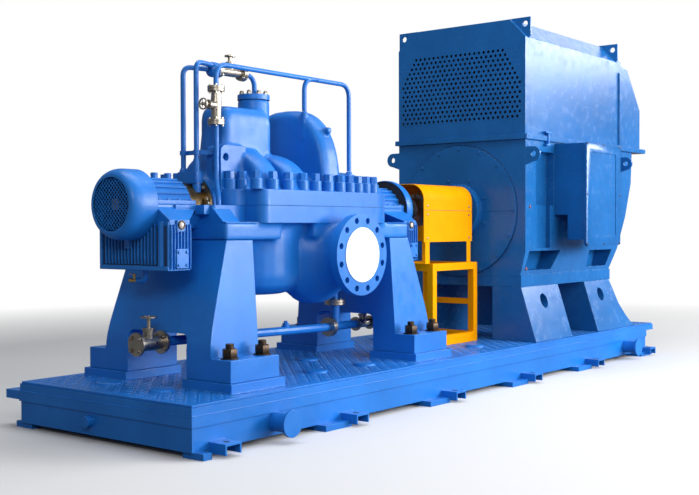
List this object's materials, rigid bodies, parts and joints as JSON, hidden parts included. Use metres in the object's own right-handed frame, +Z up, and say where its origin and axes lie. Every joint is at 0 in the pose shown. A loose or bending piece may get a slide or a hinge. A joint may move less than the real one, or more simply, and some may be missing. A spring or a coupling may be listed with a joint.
{
  "type": "axially split multistage centrifugal pump set",
  "caption": "Axially split multistage centrifugal pump on two portal pedestals, driven through a guarded coupling by a hooded box-frame motor, on one fabricated skid.",
  "frame": {"origin": "on the floor under the middle of the skid", "axes": "+X along the shaft from the pump to the motor, -Y out of the near nozzle, +Z up"},
  "size_m": [5.497, 1.619, 2.588],
  "materials": {
    "blue_paint": "satin",
    "yellow_paint": "satin",
    "stainless_steel": "satin",
    "machined_steel": "satin",
    "white_cover": "matte",
    "brass": "satin"
  },
  "bodies": {
    "machine": {"skid_frame": "blue_paint", "deck_plate": "blue_paint", "pedestal_nde": "blue_paint", "pedestal_de": "blue_paint", "sole_plate_nde_near": "blue_paint", "sole_plate_nde_far": "blue_paint", "sole_plate_de_near": "blue_paint", "sole_plate_de_far": "blue_paint", "casing_lower": "blue_paint", "casing_upper": "blue_paint", "tower_cover": "blue_paint", "nozzle_cover_near": "white_cover", "nozzle_cover_far": "white_cover", "seal_gland_nde": "stainless_steel", "seal_gland_de": "stainless_steel", "bearing_housing_nde": "blue_paint", "bearing_housing_de": "blue_paint", "bearing_cap_nde": "blue_paint", "bearing_cap_de": "blue_paint", "fan_cowl_nde": "blue_paint", "fan_cowl_de": "blue_paint", "oil_drain_cock": "brass", "coupling_guard": "yellow_paint", "guard_stand": "yellow_paint", "motor_leg_near_front": "blue_paint", "motor_leg_near_rear": "blue_paint", "motor_leg_far_front": "blue_paint", "motor_leg_far_rear": "blue_paint", "motor_frame": "blue_paint", "motor_end_shield": "blue_paint", "motor_hood": "blue_paint", "terminal_box": "blue_paint", "terminal_cover": "blue_paint", "flush_pipe_a": "blue_paint", "flush_pipe_b": "blue_paint", "flush_pipe_c": "blue_paint", "flush_header": "blue_paint", "flush_valve": "stainless_steel", "vent_tee": "blue_paint", "vent_valve": "stainless_steel", "tower_pipe": "blue_paint", "drain_header": "blue_paint", "drain_valve_nde": "stainless_steel", "drain_valve_de": "stainless_steel"},
    "rotor": {"pump_shaft": "stainless_steel", "fan_nde": "stainless_steel", "fan_de": "stainless_steel", "coupling": "machined_steel", "motor_shaft": "stainless_steel"},
    "vent_handwheel": {"vent_valve_handwheel": "stainless_steel"},
    "flush_handwheel": {"flush_valve_handwheel": "stainless_steel"},
    "drain_handwheel": {"drain_valve_nde_handwheel": "stainless_steel"}
  },
  "joints": [
    {"name": "rotor_spin", "type": "hinge", "parent": "machine", "child": "rotor", "pos_m": [-1.349, 0, 1.2], "axis": [1, 0, 0], "continuous": true},
    {"name": "vent_handwheel_turn", "type": "hinge", "parent": "machine", "child": "vent_handwheel", "pos_m": [-1.805, -0.035, 2.05], "axis": [0, 0, 1], "range_deg": [0, 1080]},
    {"name": "flush_handwheel_turn", "type": "hinge", "parent": "machine", "child": "flush_handwheel", "pos_m": [-2.154, -0.175, 1.738], "axis": [-1, 0, 0], "range_deg": [0, 1080]},
    {"name": "drain_handwheel_turn", "type": "hinge", "parent": "machine", "child": "drain_handwheel", "pos_m": [-2.425, -0.05, 0.62], "axis": [0, 0, 1], "range_deg": [0, 1080]}
  ]
}
